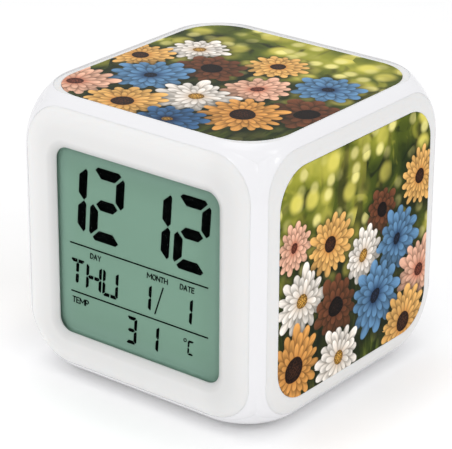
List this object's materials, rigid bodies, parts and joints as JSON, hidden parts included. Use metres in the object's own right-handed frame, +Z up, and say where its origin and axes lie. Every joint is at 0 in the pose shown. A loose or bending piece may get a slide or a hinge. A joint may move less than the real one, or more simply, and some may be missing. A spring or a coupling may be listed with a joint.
{
  "type": "digital alarm clock",
  "caption": "Cube alarm clock: rounded white case, grey-green liquid crystal display in front, picture plates on the sides and top, rear buttons and a battery bay.",
  "frame": {"origin": "middle of the resting face, at the height of the surface that the feet stand on", "axes": "+X to the right seen from the front, -Y out of the display, +Z up"},
  "size_m": [0.08, 0.08, 0.0783],
  "materials": {
    "shell_white": "gloss, cool white ABS",
    "milky_panel": "satin, milky translucent",
    "picture_right": null,
    "picture_left": null,
    "picture_top": null,
    "clear_lens": "clear acrylic",
    "display_cell": "grey-green display cell",
    "display_segment": "switched-on display segment",
    "diffuser": "milky acrylic",
    "inner_white": "moulded ABS",
    "zebra_rubber": "silicone with carbon layers",
    "board_green": "solder mask on glass fibre board",
    "screw_steel": "zinc plated",
    "potting_black": "epoxy drop",
    "crystal_can": "plain can",
    "capacitor_sleeve": "shrunk sleeve",
    "resistor_body": "ceramic chip",
    "led_epoxy": "clear epoxy",
    "sensor_bead": "epoxy bead on wires",
    "header_nylon": "natural nylon",
    "ribbon_grey": "flat cable",
    "cover_white": "satin white ABS",
    "switch_body": "moulded body",
    "button_white": "white ABS",
    "plunger_black": "moulded nylon",
    "switch_can": "pressed can",
    "cell_sleeve": "metal can with a printed sleeve without lettering",
    "contact_nickel": "nickel plated spring steel",
    "speaker_steel": "pressed steel",
    "speaker_cone": "film cone",
    "wire_red": "PVC",
    "wire_black": "PVC",
    "wire_grey": "PVC",
    "foot_rubber": "soft rubber"
  },
  "bodies": {
    "case": {"outer_shell": "shell_white", "front_panel": "milky_panel", "right_panel": "milky_panel", "left_panel": "milky_panel", "top_panel": "milky_panel", "right_picture": "picture_right", "left_picture": "picture_left", "top_picture": "picture_top", "lcd_lens": "clear_lens", "lcd_glass": "display_cell", "lcd_segments": "display_segment", "lcd_diffuser": "diffuser", "lcd_holder": "inner_white", "zebra_strips": "zebra_rubber", "main_board": "board_green", "board_screws": "screw_steel", "clock_chip": "potting_black", "quartz_crystal": "crystal_can", "capacitors": "capacitor_sleeve", "chip_resistors": "resistor_body", "colour_leds": "led_epoxy", "temperature_sensor": "sensor_bead", "ribbon_header": "header_nylon", "key_ribbon": "ribbon_grey", "rear_cover": "cover_white", "rear_screws": "screw_steel", "key_board": "board_green", "key_board_screws": "screw_steel", "key_switches": "switch_body", "light_switch": "switch_can", "battery_tray": "inner_white", "battery_cells": "cell_sleeve", "contact_plates": "contact_nickel", "contact_springs": "contact_nickel", "speaker": "speaker_steel", "speaker_cone": "speaker_cone", "positive_lead": "wire_red", "negative_lead": "wire_black", "speaker_leads": "wire_grey", "rubber_feet": "foot_rubber"},
    "set_button": {"set_button": "button_white", "set_plunger": "plunger_black"},
    "up_button": {"up_button": "button_white", "up_plunger": "plunger_black"},
    "down_button": {"down_button": "button_white", "down_plunger": "plunger_black"},
    "light_button": {"light_button": "button_white", "light_plunger": "plunger_black"},
    "light_slider": {"light_switch_knob": "button_white"},
    "battery_door": {"battery_door": "cover_white"}
  },
  "joints": [
    {"name": "set_button_press", "type": "slide", "parent": "case", "child": "set_button", "axis": [0, -1, 0], "range_m": [0, 0.0005], "stiffness_N_per_m": 800, "springref_m": -0.0005},
    {"name": "up_button_press", "type": "slide", "parent": "case", "child": "up_button", "axis": [0, -1, 0], "range_m": [0, 0.0005], "stiffness_N_per_m": 800, "springref_m": -0.0005},
    {"name": "down_button_press", "type": "slide", "parent": "case", "child": "down_button", "axis": [0, -1, 0], "range_m": [0, 0.0005], "stiffness_N_per_m": 800, "springref_m": -0.0005},
    {"name": "light_button_press", "type": "slide", "parent": "case", "child": "light_button", "axis": [0, -1, 0], "range_m": [0, 0.0005], "stiffness_N_per_m": 800, "springref_m": -0.0005},
    {"name": "light_slide", "type": "slide", "parent": "case", "child": "light_slider", "axis": [-1, 0, 0], "range_m": [0, 0.002]},
    {"name": "battery_door_hinge", "type": "hinge", "parent": "case", "child": "battery_door", "pos_m": [0, 0.0387, 0.0098], "axis": [-1, 0, 0], "range_deg": [0, 90]}
  ]
}
